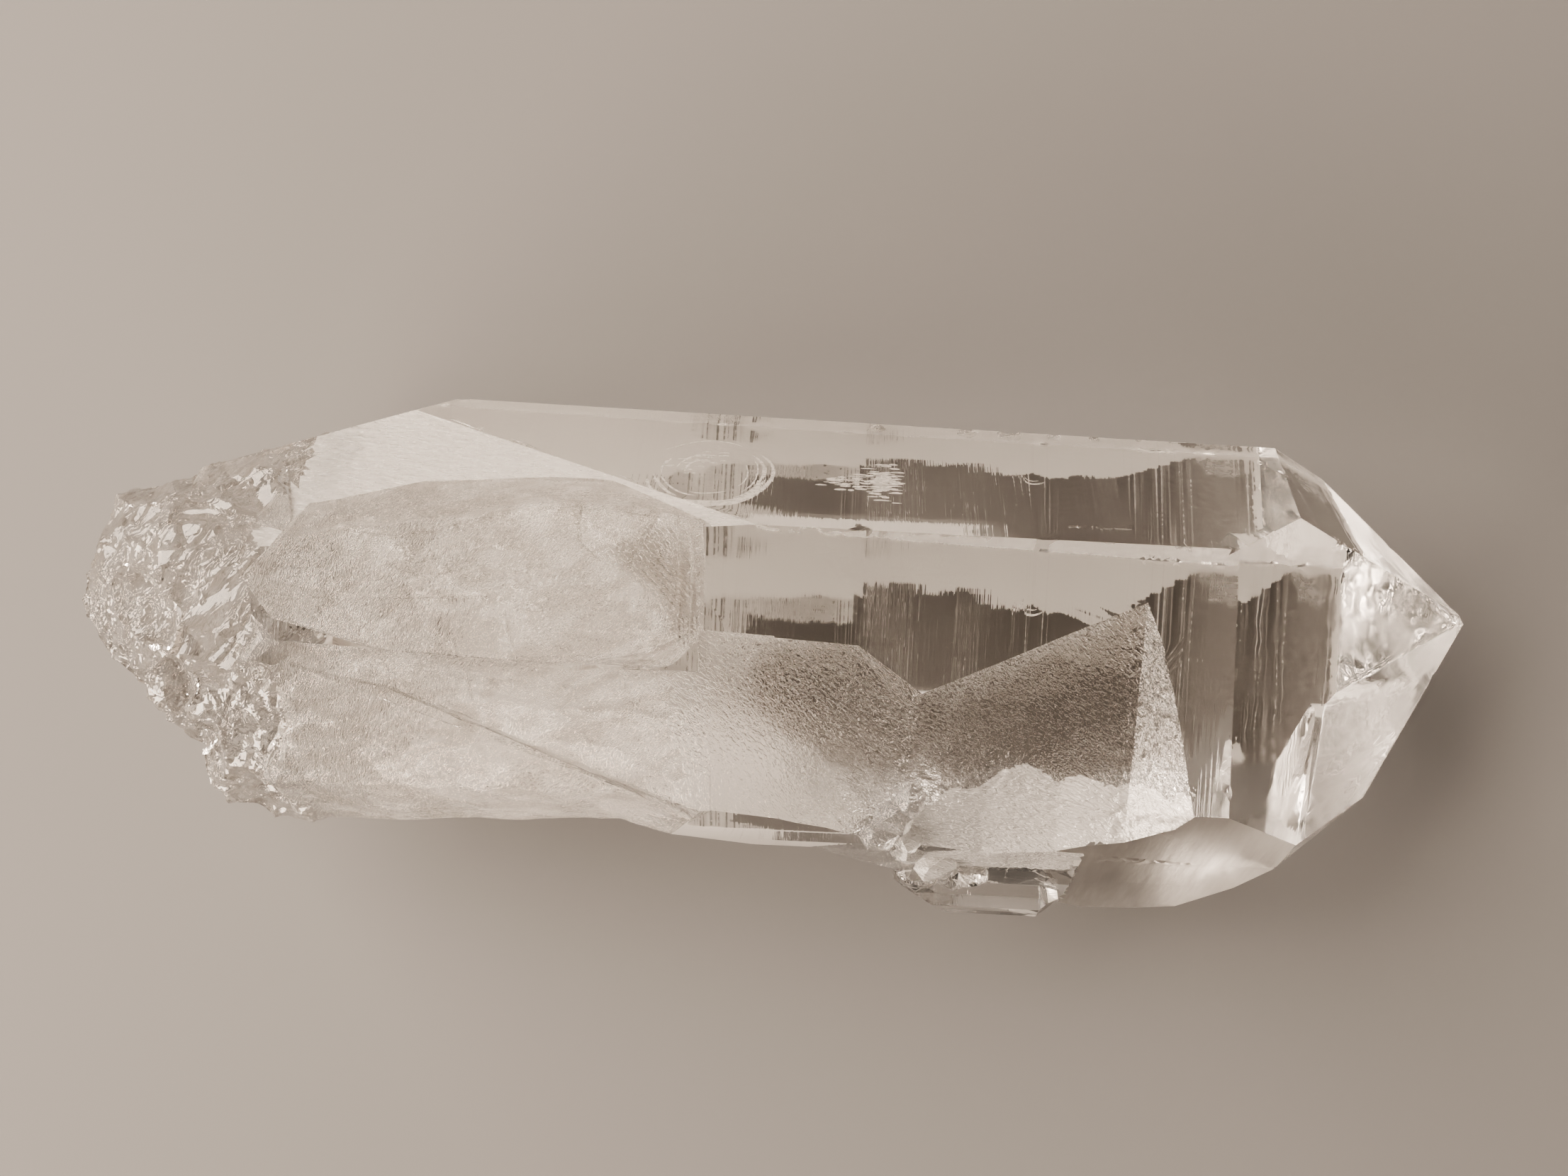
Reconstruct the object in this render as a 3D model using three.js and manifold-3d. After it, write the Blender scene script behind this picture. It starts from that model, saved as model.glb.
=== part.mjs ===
// A clear quartz crystal point lying on one of its prism faces.
//
// The long axis of the crystal (its c axis) runs along +X and ends in the point. One prism face
// looks straight up (+Z) and the opposite one is the face that it rests on. Every flat face is
// named by its azimuth round the c axis: 0 is the top face, +60 is the next one towards +Y, and
// so on. The faces of the point lean from the prism faces by the angle that all quartz shares.
//
// Everything here grew together, so it is one solid: the main crystal, a parallel crystal that
// grew over its rear half, a rib and a small crystal along its foot, and some rounded lumps.
// Faces where neighbours once pressed against it, and the broken root, are cut away.

import * as THREE from 'three';
import { ConvexGeometry } from 'three/addons/geometries/ConvexGeometry.js';
import { mergeVertices } from 'three/addons/utils/BufferGeometryUtils.js';
import Module from 'manifold-3d';

const wasm = await Module();
wasm.setup();

// ---------------------------------------------------------------- driving dimensions (mm, degrees)

const TOP_LEVEL = 36; // height of the top face above the zero that all shapes here share
const REST_LEVEL = -6.8; // height of the resting face; the prism is 42.8 thick
const POINT_LEAN = 38.2; // angle between a face of the point and the c axis
const BLOCK = 400; // side of the block that stands for a half-space
const LIFT = 14; // how far a cutter reaches above the surface that it leaves
const MERGE_WITHIN = 1e-5; // corners nearer than this are one corner

// Prism faces: azimuth, lean from the c axis, distance of the plane from the origin.
const PRISM_FACES = [
  { azimuth: 0, lean: 0, distance: TOP_LEVEL },
  { azimuth: 60.4, lean: 0.4, distance: 12.9 },
  { azimuth: 120, lean: 1.6, distance: -3.0 },
  { azimuth: 180, lean: 0, distance: -REST_LEVEL },
  { azimuth: -120, lean: 0.1, distance: 25.2 },
  { azimuth: -60.2, lean: 0.2, distance: 46.9 },
];

// Faces of the point: the large front one first, then round it.
const POINT_FACES = [
  { azimuth: 1, lean: 38.0, distance: 52.85 },
  { azimuth: 59.7, lean: 37.9, distance: 39.3 },
  { azimuth: 120, lean: 38.0, distance: 30.0 },
  { azimuth: 180, lean: POINT_LEAN, distance: 36.2 },
  { azimuth: -120.1, lean: 38.3, distance: 49.8 },
  { azimuth: -60, lean: 38.6, distance: 67.3 },
];

// The rear of the main prism narrows towards the broken root.
const REAR_FACES = [
  { normal: [-1, 0, 0], through: [-70, 0, 0] },
  { normal: [-0.312, 0.95, 0.05], through: [-48.8, 5.0, 17] },
  { normal: [-0.17, -0.95, -0.2], through: [-24.3, -38.7, 21.6] },
  { normal: [-0.74, -0.67, 0.05], through: [-71, -33, 17] },
  { normal: [-0.75, 0.1, -0.66], through: [-66, -18, REST_LEVEL] },
  { normal: [-0.1, -0.6, -0.8], through: [-40, -33, 2] },
];

// Bevel on the upper rear edge, streaked like a fan.
const FAN_FACET = { normal: [-0.069, 0.787, 0.613], through: [-48.5, 5.2, 17.7] };

// ---------------------------------------------------------------- solids from shapes

function solidFrom(geometry) {
  const bare = geometry.clone();
  bare.deleteAttribute('normal');
  bare.deleteAttribute('uv');
  const merged = mergeVertices(bare, MERGE_WITHIN);
  const mesh = new wasm.Mesh({
    numProp: 3,
    vertProperties: new Float32Array(merged.attributes.position.array),
    triVerts: new Uint32Array(merged.index.array),
  });
  return new wasm.Manifold(mesh);
}

function geometryFrom(solid) {
  const mesh = solid.getMesh();
  const geometry = new THREE.BufferGeometry();
  geometry.setAttribute('position', new THREE.BufferAttribute(mesh.vertProperties, 3));
  geometry.setIndex(new THREE.BufferAttribute(mesh.triVerts, 1));
  return geometry;
}

// Outward normal of a face from its azimuth round the c axis and its lean towards the point.
function faceNormal({ azimuth, lean }) {
  const round = THREE.MathUtils.degToRad(azimuth);
  const tilt = THREE.MathUtils.degToRad(lean);
  return new THREE.Vector3(
    Math.sin(tilt),
    Math.cos(tilt) * Math.sin(round),
    Math.cos(tilt) * Math.cos(round),
  );
}

// A block so large that only one of its sides matters: the plane normal . p = distance.
function halfSpace(normal, distance) {
  const outward = new THREE.Vector3(0, 0, 1);
  const turn = new THREE.Quaternion().setFromUnitVectors(outward, normal);
  const block = new THREE.BoxGeometry(BLOCK, BLOCK, BLOCK);
  block.translate(0, 0, -BLOCK / 2);
  block.applyQuaternion(turn);
  block.translate(normal.x * distance, normal.y * distance, normal.z * distance);
  return solidFrom(block);
}

function halfSpaceThrough({ normal, through }) {
  const direction = new THREE.Vector3(...normal).normalize();
  return halfSpace(direction, direction.dot(new THREE.Vector3(...through)));
}

function crystalOf(faces) {
  return faces
    .map((face) => halfSpace(faceNormal(face), face.distance))
    .reduce((solid, block) => solid.intersect(block));
}

// The smallest flat-faced solid round a few corner points.
function lumpOf(corners) {
  return solidFrom(new ConvexGeometry(corners.map((corner) => new THREE.Vector3(...corner))));
}

// A cutter that leaves the given surface points bare and reaches LIFT above them.
function scoopAbove(floor) {
  const roof = floor.map(([x, y, z]) => [x, y, z + LIFT]);
  return lumpOf([...floor, ...roof]);
}

// Columns of points that run straight from one edge to another. near and far hold the same number
// of points; bow lifts the middle, and the first and last columns stay straight.
function ruled(near, far, bow, across = 5) {
  return near.map((start, column) => {
    const side = column / (near.length - 1);
    const points = [];
    for (let row = 0; row <= across; row += 1) {
      const t = row / across;
      const point = new THREE.Vector3(...start).lerp(new THREE.Vector3(...far[column]), t);
      point.z += bow * 16 * t * (1 - t) * side * (1 - side);
      points.push(point);
    }
    return points;
  });
}

// A cutter whose floor is a grid of points, column beside column. It reaches LIFT above the floor.
function gridScoop(grid) {
  const columns = grid.length;
  const across = grid[0].length - 1;
  const floor = [];
  for (let row = 0; row <= across; row += 1) grid.forEach((column) => floor.push(column[row]));
  const count = floor.length;
  const vertices = [...floor, ...floor.map((point) => point.clone().setZ(point.z + LIFT))];
  const faces = [];
  const quad = (a, b, c, d) => faces.push(a, b, c, a, c, d);
  for (let row = 0; row < across; row += 1) {
    for (let column = 0; column < columns - 1; column += 1) {
      const a = row * columns + column;
      quad(a, a + 1, a + columns + 1, a + columns);
      quad(a + count, a + columns + count, a + columns + 1 + count, a + 1 + count);
    }
  }
  const rim = [];
  for (let column = 0; column < columns - 1; column += 1) rim.push(column);
  for (let row = 0; row < across; row += 1) rim.push(row * columns + columns - 1);
  for (let column = columns - 1; column > 0; column -= 1) rim.push(across * columns + column);
  for (let row = across; row > 0; row -= 1) rim.push(row * columns);
  rim.forEach((start, place) => {
    const next = rim[(place + 1) % rim.length];
    quad(start, start + count, next + count, next);
  });
  return closedSolid(vertices, faces);
}

// A solid from corner points and triangles, turned the right way round if it is inside out.
function closedSolid(vertices, faces) {
  let volume = 0;
  for (let i = 0; i < faces.length; i += 3) {
    const [a, b, c] = [vertices[faces[i]], vertices[faces[i + 1]], vertices[faces[i + 2]]];
    volume += a.dot(b.clone().cross(c));
  }
  const geometry = new THREE.BufferGeometry().setFromPoints(vertices);
  geometry.setIndex(volume < 0 ? faces.slice().reverse() : faces);
  return solidFrom(geometry);
}

// A rough nugget: corners spread evenly over an ellipsoid, each pushed in or out a little.
function nugget([x, y, z], [rx, ry, rz], seed, corners = 26) {
  const GOLDEN_TURN = Math.PI * (3 - Math.sqrt(5));
  const ROUGHNESS = 0.16;
  const points = [];
  for (let i = 0; i < corners; i += 1) {
    const height = 1 - (2 * i + 1) / corners;
    const round = GOLDEN_TURN * i + seed;
    const reach = 1 + ROUGHNESS * Math.sin(12.9898 * (i + 1) * (seed + 1));
    const ring = Math.sqrt(1 - height * height) * reach;
    points.push([x + rx * ring * Math.cos(round), y + ry * ring * Math.sin(round), z + rz * height * reach]);
  }
  return lumpOf(points);
}

// An ellipsoid, for the shell-shaped hollows of a break.
function ellipsoid([x, y, z], [rx, ry, rz], turn = 0, sides = 18) {
  const ball = new THREE.SphereGeometry(1, sides, sides / 2);
  ball.scale(rx, ry, rz);
  ball.rotateZ(THREE.MathUtils.degToRad(turn));
  ball.translate(x, y, z);
  return solidFrom(ball);
}

// ---------------------------------------------------------------- what grew

function mainCrystal() {
  const point = crystalOf([...PRISM_FACES, ...POINT_FACES]);
  return REAR_FACES.reduce((solid, face) => solid.intersect(halfSpaceThrough(face)), point);
}

// The parallel crystal over the rear half. Its forward end goes down in low steps.
function parallelCrystal() {
  const STEPS = 3;
  const STEP_RISE = 0.75;
  const STEP_RUN = 1.3;
  const slabs = [];
  for (let step = 0; step < STEPS; step += 1) {
    const top = TOP_LEVEL + STEP_RISE * (step + 1);
    const back = STEP_RUN * step;
    slabs.push(lumpOf([
      [-14.3 - back, -5.2, top], [-13.7 - back, -10, top],
      [-13.7 - back, -16.9, top], [-17.0 - back, -20.2 + back / 2, top],
      [-21, -4.3, top], [-28, -4.4, top], [-36, -5.8, top], [-47, -7.4, top],
      [-57, -9, top - 1], [-61, -13, top - 1.5], [-58, -17, top - 1.7],
      [-28, -20.6, top - 1.2], [-42, -20.8, top - 1.6],
      [-24.5, -1.7, 29], [-31, -1.7, 29.2], [-44, -2.8, 30.6], [-56, -5.5, 31],
      [-13.2, -6, 30], [-13.2, -20, 30], [-62, -8, 24], [-62, -24, 24], [-40, -24, 30],
    ]));
  }
  return slabs;
}

// The rib that carries the lower side face down to the resting face.
function lowerRib() {
  return lumpOf([
    [49.3, -41.5, 21.5], [46.5, -45.4, 15.2], [41.7, -49.9, 7.2], [37.2, -50.8, 5.4],
    [31, -51.2, 4.7], [27.4, -49.4, 8], [8, -44.9, 17], [-2, -41.6, 21.2], [12.9, -41.9, 21.3],
    [30, -37, 29], [46.6, -30, 0], [41.2, -32.0, REST_LEVEL], [48, -22, REST_LEVEL],
    [26, -33, REST_LEVEL], [14, -22, REST_LEVEL], [40, -46, -1], [30, -46, -1], [10, -35, 2],
    [-2, -33, 16],
  ]);
}

// The small crystal that lies along the foot of the rib and points the same way.
function smallCrystal() {
  const faces = [
    { azimuth: 0, lean: 0, distance: 15.3 },
    { azimuth: 60, lean: 0, distance: -33.7 },
    { azimuth: -60, lean: 0, distance: 50.2 },
    { azimuth: -120, lean: 0, distance: 37.2 },
    { azimuth: 180, lean: 0, distance: -6.5 },
    { azimuth: 0, lean: POINT_LEAN, distance: 27.65 },
    { azimuth: 60, lean: POINT_LEAN, distance: -11.2 },
    { azimuth: -60, lean: POINT_LEAN, distance: 54.6 },
    { azimuth: -120, lean: POINT_LEAN, distance: 44.6 },
  ];
  const blocks = faces.map((face) => halfSpace(faceNormal(face), face.distance));
  blocks.push(halfSpaceThrough({ normal: [-0.5, -0.86, 0.1], through: [11.8, -48.9, 15] }));
  blocks.push(halfSpaceThrough({ normal: [0, 1, 0], through: [0, -38, 0] }));
  blocks.push(halfSpaceThrough({ normal: [-1, 0, 0], through: [7.8, 0, 0] }));
  return blocks.reduce((solid, block) => solid.intersect(block));
}

// The broad lobe along the lower rear edge.
function rearLobe() {
  return lumpOf([
    [-57, -22.4, 33.2], [-47, -24.6, 31.8], [-39.4, -28.8, 31.0], [-29, -32.8, 30.6],
    [-20.5, -34.9, 30.2], [-16, -38.4, 25], [-24.3, -38.9, 21], [-37.9, -40.6, 18],
    [-47.3, -41.5, 16.5], [-56.6, -42.4, 16], [-63.8, -42.1, 17], [-68.8, -40.7, 18],
    [-70.6, -38.4, 20], [-71.6, -34.6, 21], [-67, -31, 27], [-62, -26, 31], [-60, -36, 27.5],
    [-48, -37.4, 26.4], [-34, -37.6, 26.2],
    [-66, -35, 3], [-56, -34, -1], [-36, -32, -2], [-18, -33, 4], [-66, -22, 0],
  ]);
}

// The root end, before it is broken.
function rootMass() {
  return lumpOf([
    [-82.9, -6.0, 18], [-76.4, -4.5, 19], [-71.8, -3, 20], [-60, -1.5, 27],
    [-84.9, -11.4, 18], [-86.6, -15.1, 18], [-86.9, -17.8, 17], [-86.6, -20, 16],
    [-84.7, -23.7, 16], [-79.6, -29, 16], [-76.2, -32.1, 16], [-72.3, -35, 18],
    [-73.5, -7.5, 30.5], [-76, -13, 29.5], [-66, -12, 35.8], [-72, -22, 31], [-64, -20, 35.2],
    [-65.5, -31, 28], [-75, -10, 2], [-77, -22, 1], [-65, -8, -4], [-66, -28, -3], [-60, -14, REST_LEVEL],
    [-60, -20, REST_LEVEL], [-58, -30, 4], [-56, -10, 36], [-56, -20, 35],
  ]);
}

function lumps() {
  return [
    nugget([6.9, -36.4, 26.9], [2.2, 2.4, 2.2], 1),
    nugget([8.6, -34.2, 27.6], [2.0, 2.6, 1.9], 2),
    nugget([5.6, -38.6, 25.8], [2.4, 2.2, 1.8], 3),
    nugget([8.4, -38.8, 24.8], [1.9, 2.4, 2.0], 4),
    nugget([9.0, -41.6, 21.2], [2.0, 1.5, 2.2], 2),
    nugget([12.2, -43.4, 19.4], [2.6, 1.9, 2.2], 3),
    nugget([16.0, -44.8, 17.4], [2.4, 1.5, 1.9], 4),
    nugget([10.8, -45.6, 15.6], [2.8, 1.9, 2.6], 5),
    nugget([14.6, -46.0, 15.0], [2.2, 1.4, 1.8], 6),
    nugget([-61, -19.6, 34.0], [4.0, 3.4, 2.6], 7, 90),
    nugget([-66.5, -10.4, 33.4], [3.8, 2.2, 2.4], 8, 60),
    nugget([-72.5, -26.0, 25.5], [2.6, 4.0, 3.2], 9, 60),
  ];
}

// ---------------------------------------------------------------- what is cut away

// The two contact faces, where neighbours once pressed against this crystal. The middle one falls
// from the top face to the foot. It meets the forward one, a long twisted slope, on a ridge, and
// that slope ends at a crease, from which a short steep face rises to the rim.
function contactFaces() {
  const RIDGE = { top: [8.9, -22, 36], foot: [6.5, -43.7, 22.4] };
  const middle = ruled(
    [[-13.9, -20.6, 35.2], [-6.5, -17.0, 35.6], [2.2, -17.4, 36], RIDGE.top],
    [[-13, -37.6, 31.4], [-5.4, -39.3, 29.6], [-0.7, -40.7, 27.2], RIDGE.foot],
    -0.4,
  );
  const forward = ruled(
    [RIDGE.top, [16.3, -18.6, 36], [23.7, -15.1, 36], [31.1, -11.7, 36]],
    [RIDGE.foot, [17, -45.4, 19.6], [25, -43.6, 22.2], [31.6, -40.5, 26.9]],
    0.6,
  );
  const rim = [
    [31.4, -11.5, 36.1], [32.9, -15.6, 36.1], [34.2, -20.2, 36.1],
    [35.5, -25.6, 36.1], [37, -33.1, 36.1], [38.7, -36, 34.3],
  ].map((corner) => new THREE.Vector3(...corner));
  return gridScoop([...middle, ...forward.slice(1), rim]);
}

// The smooth wedge between it and the steps of the parallel crystal.
function wedgeFacet() {
  return scoopAbove([[-14.2, -16.5, 36], [-6.4, -16.8, 36], [-14, -21, 35], [-6.2, -17.6, 35.4]]);
}

// The shallow continuation of the contact face to the rear, down to the groove above the lobe.
function rearContactFace() {
  const slabEdge = [[-12.8, -20.9, 35.3], [-27, -20.6, 36.4], [-42, -20.2, 36.0], [-58, -19.6, 34.6]];
  const groove = [[-12.5, -37.8, 31.0], [-24, -34.2, 30.4], [-39.4, -28.9, 30.6], [-58, -22.6, 32.6]];
  return gridScoop(ruled(slabEdge, groove, -0.4));
}

// Room for the rear lobe, so that its rounded top shows and not the edge of the main crystal.
function roomForLobe() {
  return scoopAbove([
    [-60, -21.8, 33], [-47, -24.4, 31.2], [-39.4, -29, 30.3], [-29, -32.8, 29.9],
    [-20.5, -34.4, 30.2], [-12.2, -36.6, 31.4], [-11, -48, 17], [-30, -48, 17], [-62, -48, 17],
    [-80, -40, 20], [-74, -28, 30],
  ]);
}

// Shell-shaped hollows where the root broke off: on its upper slope, behind and below.
function breaks() {
  return [
    ellipsoid([-64.5, 0.5, 37.5], [8.5, 4.6, 6.5], -10),
    ellipsoid([-82.5, -7.0, 36.8], [14, 7, 14], 12, 28),
    ellipsoid([-83.5, -17.5, 38.4], [16, 8, 15], -8, 28),
    ellipsoid([-80, -29, 37.0], [14, 8, 14], 22, 28),
    ellipsoid([-69, -15.5, 42.4], [8, 5, 8.4], 30),
    ellipsoid([-66.5, -26.5, 39.4], [7, 5.5, 8.2], -15),
    ellipsoid([-96, -14, 27], [12, 8, 12], 0, 24),
    ellipsoid([-92.5, -27, 24], [11, 8, 12], 20, 24),
    ellipsoid([-92, -12, 0], [12, 10, 12], 0, 24),
    ellipsoid([-87, -29, 0], [12, 9, 11], 10, 24),
    ellipsoid([-79, -1, -3], [13, 7, 12], -20, 24),
  ];
}

// Chips knocked from the long upper edge: place along the crystal, size, depth.
const EDGE_CHIPS = [
  [3.5, 1.6, 0.5], [13.2, 2.4, 0.8], [17.5, 3.0, 1.1], [22.5, 1.8, 0.7], [27, 1.3, 0.6],
  [31.5, 2.1, 0.8], [36, 1.5, 0.6], [40.2, 1.2, 0.5], [43.6, 1.0, 0.6],
];

function edgeChips() {
  const EDGE_Y = 5.0;
  const EDGE_Z = 16.9;
  return EDGE_CHIPS.map(([along, size, depth], place) => {
    const out = 1.8 * size - depth;
    return ellipsoid([along, EDGE_Y + out, EDGE_Z + 0.3 * size], [size, 1.8 * size, size], 7 * place, 10);
  });
}

// ---------------------------------------------------------------- the whole piece

function union(solid, additions) {
  return additions.reduce((whole, lump) => whole.add(lump), solid);
}

function carve(solid, cutters) {
  return cutters.reduce((rest, cutter) => rest.subtract(cutter), solid);
}

function quartzPiece() {
  const bevelled = mainCrystal().intersect(halfSpaceThrough(FAN_FACET));
  const rooted = union(carve(bevelled, [roomForLobe()]), [rootMass()]);
  const grown = union(rooted, [...parallelCrystal(), lowerRib(), smallCrystal()]);
  const contacts = [wedgeFacet(), contactFaces(), rearContactFace()];
  const broken = carve(grown, [...contacts, ...breaks(), ...edgeChips()]);
  const whole = union(broken, [rearLobe(), ...lumps()]);
  return whole.intersect(halfSpaceThrough({ normal: [0, 0, -1], through: [0, 0, REST_LEVEL] }));
}

// The origin sits under the middle of the piece, on the surface that it rests on.
function centred(geometry) {
  geometry.computeBoundingBox();
  const { min, max } = geometry.boundingBox;
  geometry.translate(-(min.x + max.x) / 2, -(min.y + max.y) / 2, -min.z);
  return geometry;
}

const clearQuartz = new THREE.MeshStandardMaterial({ color: 0xe6dccd, roughness: 0.08, metalness: 0 });

const crystal = new THREE.Mesh(centred(geometryFrom(quartzPiece())), clearQuartz);
crystal.name = 'quartz_crystal';

const part = new THREE.Group();
part.add(crystal);

export default part;
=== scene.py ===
# %% [markdown]
# # A quartz point, lying on one of its faces
# The solid model is loaded as a fixed frame. It has every flat face in its place, but no etching,
# no growth lines and no splintered root. This lesson adds them, one step at a time.
# All positions are in millimetres from the crystal's own zero: X runs along the long axis to the
# point, Y goes across, and Z goes up, with the top face at 36 and the resting face at -6.8.

# %% load the solid model
import bpy
import bmesh
import math
import numpy as np
from mathutils import Matrix, Vector


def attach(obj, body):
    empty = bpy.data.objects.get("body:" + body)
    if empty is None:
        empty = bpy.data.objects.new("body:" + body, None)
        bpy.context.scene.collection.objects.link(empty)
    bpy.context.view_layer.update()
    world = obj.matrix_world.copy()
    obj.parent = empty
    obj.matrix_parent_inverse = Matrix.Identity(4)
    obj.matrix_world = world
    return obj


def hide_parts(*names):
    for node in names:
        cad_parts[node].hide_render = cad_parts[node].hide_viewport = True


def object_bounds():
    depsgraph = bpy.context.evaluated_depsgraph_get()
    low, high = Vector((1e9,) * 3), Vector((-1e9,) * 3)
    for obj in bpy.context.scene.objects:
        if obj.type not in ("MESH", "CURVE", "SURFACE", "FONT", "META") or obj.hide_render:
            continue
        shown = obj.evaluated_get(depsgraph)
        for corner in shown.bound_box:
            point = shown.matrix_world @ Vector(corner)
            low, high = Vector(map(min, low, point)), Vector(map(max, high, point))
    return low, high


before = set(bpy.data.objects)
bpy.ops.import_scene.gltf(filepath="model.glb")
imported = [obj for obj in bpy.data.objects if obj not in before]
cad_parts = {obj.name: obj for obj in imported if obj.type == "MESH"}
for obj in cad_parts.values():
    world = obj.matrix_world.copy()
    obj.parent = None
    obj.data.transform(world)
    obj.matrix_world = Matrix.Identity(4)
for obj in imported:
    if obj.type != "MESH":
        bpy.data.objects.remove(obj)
cad_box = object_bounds()
MM = 0.001
TIP_X = 71.79  # the point's end
CREST_Y = 6.64  # the furthest spot of the far long edge
REST_Z = -6.8
SLAB_END = -14  # X of the overgrowth's front end
ROOT_START = -58  # X where the root's broken surface begins
own_zero = np.array([cad_box[1].x / MM - TIP_X, cad_box[1].y / MM - CREST_Y, -REST_Z])
print("box in mm:", [round(side / MM, 1) for side in cad_box[1] - cad_box[0]])

# %% [markdown]
# ## The camera
# A crystal on a table is looked at from almost straight above, about one crystal length away.
# So near, the top face looks clearly larger than the foot of the crystal. A long lens from
# further off would flatten that, so the real distance and a wide lens are used.

# %% camera
EYE_HEIGHT = 203.3
LENS = 37.98
LEAN_LEFT, LEAN_BACK, ROLL = -1.92, 4.06, -2.43  # degrees
lean_left = Matrix.Rotation(math.radians(LEAN_LEFT), 3, "Y")
lean_back = Matrix.Rotation(math.radians(LEAN_BACK), 3, "X")
roll = Matrix.Rotation(math.radians(ROLL), 3, "Z")
camera = bpy.data.objects.new("camera", bpy.data.cameras.new("camera"))
bpy.context.collection.objects.link(camera)
camera.data.lens = LENS
camera.data.sensor_width = 36
camera.data.clip_start = 0.01
camera.rotation_euler = (roll @ lean_back @ lean_left).transposed().to_euler()
camera.location = Vector((own_zero + [0, 0, EYE_HEIGHT]) * MM)
bpy.context.scene.camera = camera
print("camera at", [round(c, 3) for c in camera.location])

# %% [markdown]
# ## Floor and light
# Clear crystal has hardly any colour of its own: it shows the floor and the lights, bent by its
# faces. A pale floor, two large soft lights from the left, a weak one from the near side and dim
# surroundings give pale faces with darker ones between them, as windows do.

# %% floor, lights and surroundings
FLOOR_GAP = 0.2  # thin layer of air under the crystal
FLOOR_REACH = 3.0  # metres from the middle to each side
WARM_WHITE = (1, 0.85, 0.72)


def plain_material(name, colour, roughness):
    """A material of one colour and one roughness."""
    material = bpy.data.materials.new(name)
    material.use_nodes = True
    shader = material.node_tree.nodes["Principled BSDF"]
    shader.inputs["Base Color"].default_value = (*colour, 1)
    shader.inputs["Roughness"].default_value = roughness
    return material


floor_mesh = bpy.data.meshes.new("floor")
corners = [(x * FLOOR_REACH, y * FLOOR_REACH) for x, y in ((-1, -1), (1, -1), (1, 1), (-1, 1))]
floor_mesh.from_pydata([(x, y, -FLOOR_GAP * MM) for x, y in corners], [], [(0, 1, 2, 3)])
floor = bpy.data.objects.new("floor", floor_mesh)
bpy.context.collection.objects.link(floor)
floor_mesh.materials.append(plain_material("pale_floor", (0.17, 0.166, 0.162), 0.9))


def soft_light(name, place, aim, size, power, colour):
    """A square light at place, in metres, turned towards aim."""
    lamp = bpy.data.lights.new(name, "AREA")
    lamp.shape = "RECTANGLE"
    lamp.size, lamp.size_y = size
    lamp.energy = power
    lamp.color = colour
    light = bpy.data.objects.new(name, lamp)
    bpy.context.collection.objects.link(light)
    light.location = place
    light.rotation_euler = (Vector(aim) - Vector(place)).to_track_quat("-Z", "Y").to_euler()
    return light


soft_light("window", (-0.6, 0.42, 0.55), (0, 0, 0.02), (0.8, 0.8), 28, WARM_WHITE)
soft_light("low_window", (-0.72, -0.42, 0.3), (0, 0, 0.02), (0.6, 0.5), 21, (1, 0.84, 0.7))
soft_light("fill", (-0.15, -0.85, 0.5), (0, 0, 0.02), (0.6, 0.4), 2.6, WARM_WHITE)
world = bpy.data.worlds.new("surroundings")
world.use_nodes = True
world.node_tree.nodes["Background"].inputs["Color"].default_value = (0.5, 0.44, 0.38, 1)
world.node_tree.nodes["Background"].inputs["Strength"].default_value = 0.12
bpy.context.scene.world = world
bpy.context.scene.view_settings.look = "AgX - Medium High Contrast"

# %% [markdown]
# ## From loose triangles to a fine skin
# The relief of the rough faces is finer than the model's triangles. A copy of the model is
# merged, and then every edge that is too long is halved again and again, longest first. The
# flat faces stay exactly flat, which a remesh by voxels would not do, so they still act as
# clean windows into the crystal.

# %% merge a copy of the solid
SAME_PLACE = 0.005  # corners nearer to each other than this are one
FLAT_ANGLE = 0.3  # degrees between neighbours that count as one flat face
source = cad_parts["quartz_crystal"]
merged = bmesh.new()
merged.from_mesh(source.data)
bmesh.ops.remove_doubles(merged, verts=merged.verts, dist=SAME_PLACE * MM)
bmesh.ops.dissolve_limit(
    merged, angle_limit=math.radians(FLAT_ANGLE), verts=merged.verts, edges=merged.edges
)
bmesh.ops.triangulate(merged, faces=merged.faces, ngon_method="BEAUTY")
start = bpy.data.meshes.new("start")
merged.to_mesh(start)
merged.free()
points = np.empty(len(start.vertices) * 3)
start.vertices.foreach_get("co", points)
points = points.reshape(-1, 3) / MM - own_zero
triangles = np.empty(len(start.polygons) * 3, int)
start.polygons.foreach_get("vertices", triangles)
triangles = triangles.reshape(-1, 3)
print("merged solid:", len(points), "points,", len(triangles), "triangles")

# %% name the flat faces
# Azimuth round the long axis from the top face, lean towards the point, distance from the zero.
ON_PLANE = 0.06  # spots nearer to a plane than this lie on it
FLAT_FACES = {
    "top": (0, 0, 36), "upper_side": (60.4, 0.4, 12.9), "hidden_side": (120, 1.6, -3.0),
    "rest": (180, 0, -REST_Z), "hidden_foot": (-120, 0.1, 25.2), "lower_side": (-60.2, 0.2, 46.9),
    "front": (1, 38.0, 52.85), "front_upper": (59.7, 37.9, 39.3), "front_far": (120, 38.0, 30.0),
    "front_below": (180, 38.2, 36.2), "front_foot": (-120.1, 38.3, 49.8),
    "front_lower": (-60, 38.6, 67.3), "fan": (52.1, -4.0, 18.29),
}
names = list(FLAT_FACES)
azimuth, lean, distance = np.array(list(FLAT_FACES.values())).T
azimuth, lean = np.radians(azimuth), np.radians(lean)
flat_normals = np.stack([np.sin(lean), np.cos(lean) * np.sin(azimuth), np.cos(lean) * np.cos(azimuth)], 1)


def triangle_normals(points, triangles):
    """The cross product of two sides: it points outwards, and its length is twice the area."""
    a, b, c = (points[triangles[:, k]] for k in range(3))
    return np.cross(b - a, c - a)


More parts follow.
